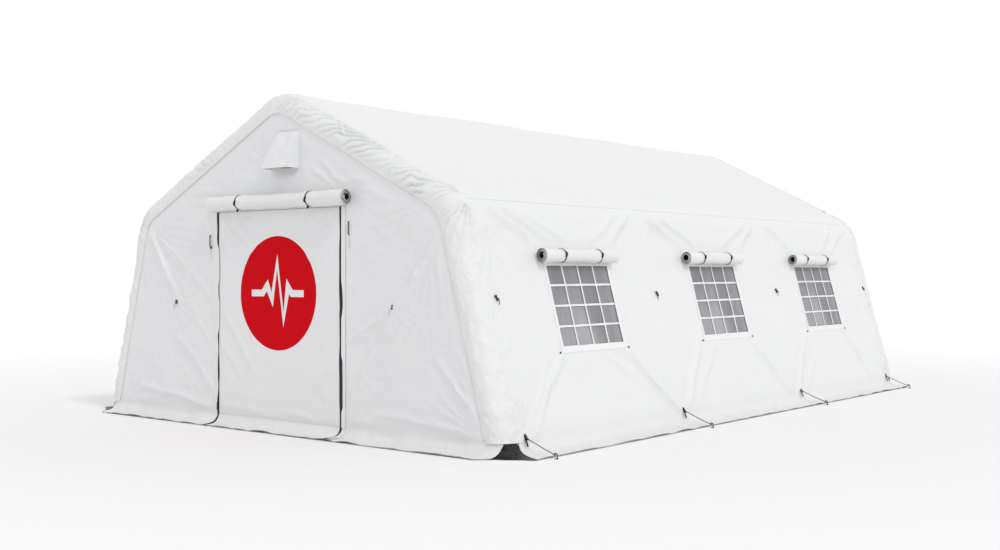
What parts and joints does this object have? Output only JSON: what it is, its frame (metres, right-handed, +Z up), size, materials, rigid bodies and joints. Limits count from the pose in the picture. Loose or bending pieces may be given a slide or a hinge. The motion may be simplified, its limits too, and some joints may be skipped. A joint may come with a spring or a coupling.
{
  "type": "inflatable medical tent",
  "caption": "Inflatable shelter: bent air arches under a coated cover, zipped gable doors, net windows with rolled blinds, hooded vents and a skirt held down by cords.",
  "frame": {"origin": "on the ground at the middle of the tent's plan", "axes": "+Z up, +Y along the length from the front gable to the rear gable, +X to the right seen from the front"},
  "size_m": [5.0204, 6.9596, 2.583],
  "materials": {
    "cover": "semi-matt coated cloth",
    "gable": "semi-matt coated cloth",
    "rolled_cloth": "semi-matt coated cloth",
    "air_tube": "smooth airtight coated cloth",
    "groundsheet": "heavy matt coated cloth",
    "net": "fine woven net with sewn tapes",
    "zip": "moulded coil on woven tape",
    "slider": "moulded",
    "valve": "moulded",
    "webbing": "woven black webbing and cord"
  },
  "bodies": {
    "tent": {"groundsheet": "groundsheet", "arch_front": "air_tube", "arch_second": "air_tube", "arch_third": "air_tube", "arch_rear": "air_tube", "ridge_purlin_1": "air_tube", "ridge_purlin_2": "air_tube", "ridge_purlin_3": "air_tube", "left_eave_purlin_1": "air_tube", "left_eave_purlin_2": "air_tube", "left_eave_purlin_3": "air_tube", "right_eave_purlin_1": "air_tube", "right_eave_purlin_2": "air_tube", "right_eave_purlin_3": "air_tube", "air_valve_front": "valve", "air_valve_rear": "valve", "roof_panel_left": "cover", "roof_panel_right": "cover", "side_wall_left": "cover", "side_wall_right": "cover", "gable_wall_front": "gable", "gable_wall_rear": "gable", "gable_sleeve_front": "cover", "gable_sleeve_rear": "cover", "vent_front": "gable", "vent_rear": "gable", "window_left_1": "net", "window_left_2": "net", "window_left_3": "net", "window_right_1": "net", "window_right_2": "net", "window_right_3": "net", "door_zip_front_left": "zip", "door_zip_front_right": "zip", "door_zip_rear_left": "zip", "door_zip_rear_right": "zip", "hold_down_left_1": "webbing", "hold_down_left_2": "webbing", "hold_down_left_3": "webbing", "hold_down_left_4": "webbing", "hold_down_right_1": "webbing", "hold_down_right_2": "webbing", "hold_down_right_3": "webbing", "hold_down_right_4": "webbing"},
    "door_front": {"door_front": "gable"},
    "door_roll_front": {"door_roll_front": "rolled_cloth"},
    "zip_slider_front_left": {"zip_slider_front_left": "slider"},
    "zip_slider_front_right": {"zip_slider_front_right": "slider"},
    "valve_cap_front": {"valve_cap_front": "valve"},
    "door_rear": {"door_rear": "gable"},
    "door_roll_rear": {"door_roll_rear": "rolled_cloth"},
    "zip_slider_rear_left": {"zip_slider_rear_left": "slider"},
    "zip_slider_rear_right": {"zip_slider_rear_right": "slider"},
    "valve_cap_rear": {"valve_cap_rear": "valve"},
    "blind_roll_left_1": {"blind_roll_left_1": "rolled_cloth"},
    "blind_roll_left_2": {"blind_roll_left_2": "rolled_cloth"},
    "blind_roll_left_3": {"blind_roll_left_3": "rolled_cloth"},
    "blind_roll_right_1": {"blind_roll_right_1": "rolled_cloth"},
    "blind_roll_right_2": {"blind_roll_right_2": "rolled_cloth"},
    "blind_roll_right_3": {"blind_roll_right_3": "rolled_cloth"}
  },
  "joints": [
    {"name": "door_lift_front", "type": "hinge", "parent": "tent", "child": "door_front", "pos_m": [0, -3.3193, 1.6897], "axis": [-1, 0, 0], "range_deg": [0, 80]},
    {"name": "door_roll_swing_front", "type": "hinge", "parent": "tent", "child": "door_roll_front", "pos_m": [0, -3.3196, 1.841], "axis": [-1, 0, 0], "range_deg": [0, 50]},
    {"name": "zip_pull_front_left", "type": "slide", "parent": "tent", "child": "zip_slider_front_left", "axis": [0, 0, 1], "range_m": [-0.015, 1.5]},
    {"name": "zip_pull_front_right", "type": "slide", "parent": "tent", "child": "zip_slider_front_right", "axis": [0, 0, 1], "range_m": [-0.769, 0.746]},
    {"name": "valve_cap_turn_front", "type": "hinge", "parent": "tent", "child": "valve_cap_front", "pos_m": [-1.80521, -3.165, 0.5105], "axis": [0.9647, 0, -0.2634], "range_deg": [0, 90]},
    {"name": "door_lift_rear", "type": "hinge", "parent": "tent", "child": "door_rear", "pos_m": [0, 3.3193, 1.6897], "axis": [1, 0, 0], "range_deg": [0, 80]},
    {"name": "door_roll_swing_rear", "type": "hinge", "parent": "tent", "child": "door_roll_rear", "pos_m": [0, 3.3196, 1.841], "axis": [1, 0, 0], "range_deg": [0, 50]},
    {"name": "zip_pull_rear_left", "type": "slide", "parent": "tent", "child": "zip_slider_rear_left", "axis": [0, 0, 1], "range_m": [-0.015, 1.5]},
    {"name": "zip_pull_rear_right", "type": "slide", "parent": "tent", "child": "zip_slider_rear_right", "axis": [0, 0, 1], "range_m": [-0.015, 1.5]},
    {"name": "valve_cap_turn_rear", "type": "hinge", "parent": "tent", "child": "valve_cap_rear", "pos_m": [1.80521, 3.165, 0.5105], "axis": [-0.9647, 0, -0.2634], "range_deg": [0, 90]},
    {"name": "blind_swing_left_1", "type": "hinge", "parent": "tent", "child": "blind_roll_left_1", "pos_m": [-1.87876, -2.11, 1.39767], "axis": [0, 1, 0], "range_deg": [0, 50]},
    {"name": "blind_swing_left_2", "type": "hinge", "parent": "tent", "child": "blind_roll_left_2", "pos_m": [-1.87876, 0, 1.39767], "axis": [0, 1, 0], "range_deg": [0, 50]},
    {"name": "blind_swing_left_3", "type": "hinge", "parent": "tent", "child": "blind_roll_left_3", "pos_m": [-1.87876, 2.11, 1.39767], "axis": [0, 1, 0], "range_deg": [0, 50]},
    {"name": "blind_swing_right_1", "type": "hinge", "parent": "tent", "child": "blind_roll_right_1", "pos_m": [1.87876, -2.11, 1.39767], "axis": [0, -1, 0], "range_deg": [0, 50]},
    {"name": "blind_swing_right_2", "type": "hinge", "parent": "tent", "child": "blind_roll_right_2", "pos_m": [1.87876, 0, 1.39767], "axis": [0, -1, 0], "range_deg": [0, 50]},
    {"name": "blind_swing_right_3", "type": "hinge", "parent": "tent", "child": "blind_roll_right_3", "pos_m": [1.87876, 2.11, 1.39767], "axis": [0, -1, 0], "range_deg": [0, 50]}
  ]
}
